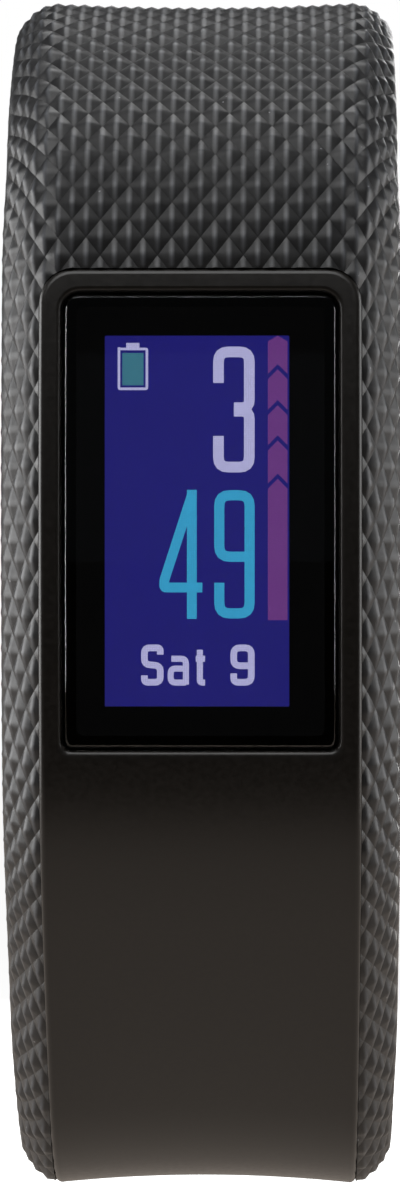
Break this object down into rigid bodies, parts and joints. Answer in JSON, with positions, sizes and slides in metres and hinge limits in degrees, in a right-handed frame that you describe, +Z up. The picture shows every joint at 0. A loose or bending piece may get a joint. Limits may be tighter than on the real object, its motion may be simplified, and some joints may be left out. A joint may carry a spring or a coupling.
{
  "type": "fitness tracker band",
  "caption": "Slim wrist activity tracker: a tall touch display over a curved chin, moulded into a diamond-textured silicone band with a pin buckle.",
  "frame": {"origin": "middle of the whole band's bounding box, in the wrist opening", "axes": "+X across the band to the right of the display as seen from the front, +Z up the band past the top of the display, display facing -Y"},
  "size_m": [0.0218, 0.0638, 0.067],
  "materials": {
    "band_silicone": "matte moulded silicone, very dark grey",
    "housing_plastic": "satin black-brown polycarbonate",
    "lens_glass": "polished dark cover lens",
    "adhesive": "thin black foam tape",
    "black_print": "dead black",
    "touch_film": "clear film",
    "display": "lit colour display",
    "backlight": "white light guide",
    "inner_plastic": "moulded black plastic",
    "flex_ribbon": "amber ribbon",
    "circuit_board": "green solder mask",
    "chip_plastic": "moulded black resin",
    "connector_plastic": "cream resin",
    "steel": "satin stainless steel",
    "rotor_weight": "sintered heavy metal",
    "battery_foil": "aluminium pouch foil",
    "cover_plastic": "fine-textured black plastic",
    "seal_rubber": "black rubber",
    "sensor_lens": "polished smoked plastic",
    "led_resin": "green emitter resin",
    "photodiode_face": "dark silicon under clear resin",
    "gold_contact": "gold-plated contact",
    "vent_film": "white porous film",
    "buckle_steel": "dark coated stainless steel"
  },
  "bodies": {
    "module": {"front_housing": "housing_plastic", "lens": "lens_glass", "lens_adhesive": "adhesive", "border_mask": "black_print", "touch_sensor": "touch_film", "display_panel": "display", "display_backlight": "backlight", "display_holder": "inner_plastic", "display_flex": "flex_ribbon", "mid_frame": "inner_plastic", "main_board": "circuit_board", "board_chips": "chip_plastic", "flex_connectors": "connector_plastic", "shield_can": "steel", "vibration_motor_can": "steel", "battery": "battery_foil", "battery_lead": "flex_ribbon", "antenna": "flex_ribbon", "chassis_tub": "inner_plastic", "housing_adhesive": "adhesive", "rear_cover": "cover_plastic", "rear_cover_seal": "seal_rubber", "rear_cover_screws": "steel", "sensor_window": "sensor_lens", "sensor_board": "circuit_board", "sensor_leds": "led_resin", "sensor_photodiode": "photodiode_face", "sensor_baffle": "black_print", "charging_contacts": "gold_contact", "vent_membrane": "vent_film", "strap_surround": "band_silicone"},
    "rotor": {"motor_rotor": "rotor_weight"},
    "upper_arm": {"strap_upper": "band_silicone"},
    "buckle_arm": {"strap_buckle_end": "band_silicone", "spring_bar_tube": "steel", "spring_bar_spring": "steel"},
    "pin_left": {"spring_bar_pin_left": "steel"},
    "pin_right": {"spring_bar_pin_right": "steel"},
    "buckle": {"buckle_frame": "buckle_steel"},
    "tongue": {"buckle_tongue": "buckle_steel"},
    "keeper": {"keeper_loop": "band_silicone"},
    "lower_arm": {"strap_lower": "band_silicone"},
    "tail_arm": {"strap_tail": "band_silicone"},
    "tail_end": {"strap_tail_tip": "band_silicone"}
  },
  "joints": [
    {"name": "upper_arm_bend", "type": "hinge", "parent": "module", "child": "upper_arm", "pos_m": [0, -0.02551, 0.02597], "axis": [1, 0, 0], "range_deg": [0, 35], "stiffness_Nm_per_rad": 0.05},
    {"name": "buckle_arm_bend", "type": "hinge", "parent": "upper_arm", "child": "buckle_arm", "pos_m": [0, -0.00783, 0.03225], "axis": [1, 0, 0], "range_deg": [0, 35], "stiffness_Nm_per_rad": 0.03},
    {"name": "lower_arm_bend", "type": "hinge", "parent": "module", "child": "lower_arm", "pos_m": [0, -0.00594, -0.03347], "axis": [-1, 0, 0], "range_deg": [0, 35], "stiffness_Nm_per_rad": 0.05},
    {"name": "tail_arm_bend", "type": "hinge", "parent": "lower_arm", "child": "tail_arm", "pos_m": [0, 0.0153, -0.0287], "axis": [-1, 0, 0], "range_deg": [0, 35], "stiffness_Nm_per_rad": 0.03},
    {"name": "tail_end_bend", "type": "hinge", "parent": "tail_arm", "child": "tail_end", "pos_m": [0, 0.03062, -0.00951], "axis": [-1, 0, 0], "range_deg": [0, 35], "stiffness_Nm_per_rad": 0.02},
    {"name": "buckle_swing", "type": "hinge", "parent": "buckle_arm", "child": "buckle", "pos_m": [0, 0.01786, 0.02375], "axis": [1, 0, 0], "range_deg": [-60, 35]},
    {"name": "tongue_swing", "type": "hinge", "parent": "buckle", "child": "tongue", "pos_m": [0, 0.01786, 0.02375], "axis": [1, 0, 0], "range_deg": [0, 85]},
    {"name": "keeper_slide", "type": "hinge", "parent": "buckle_arm", "child": "keeper", "pos_m": [0, -0.00462, -0.00775], "axis": [1, 0, 0], "range_deg": [0, 12.5]},
    {"name": "pin_left_slide", "type": "slide", "parent": "buckle_arm", "child": "pin_left", "axis": [1, 0, 0], "range_m": [0, 0.0009], "stiffness_N_per_m": 300, "springref_m": -0.001, "deforming": ["spring_bar_spring"]},
    {"name": "pin_right_slide", "type": "slide", "parent": "buckle_arm", "child": "pin_right", "axis": [-1, 0, 0], "range_m": [0, 0.0009], "stiffness_N_per_m": 300, "springref_m": -0.001, "deforming": ["spring_bar_spring"]},
    {"name": "motor_spin", "type": "hinge", "parent": "module", "child": "rotor", "pos_m": [0, -0.02568, 0.01156], "axis": [0, 1, 0], "continuous": true}
  ],
  "couplings": [
    {"joint": "buckle_arm_bend", "follows": "upper_arm_bend", "ratio": 1},
    {"joint": "tail_arm_bend", "follows": "lower_arm_bend", "ratio": 1},
    {"joint": "tail_end_bend", "follows": "lower_arm_bend", "ratio": 1}
  ]
}
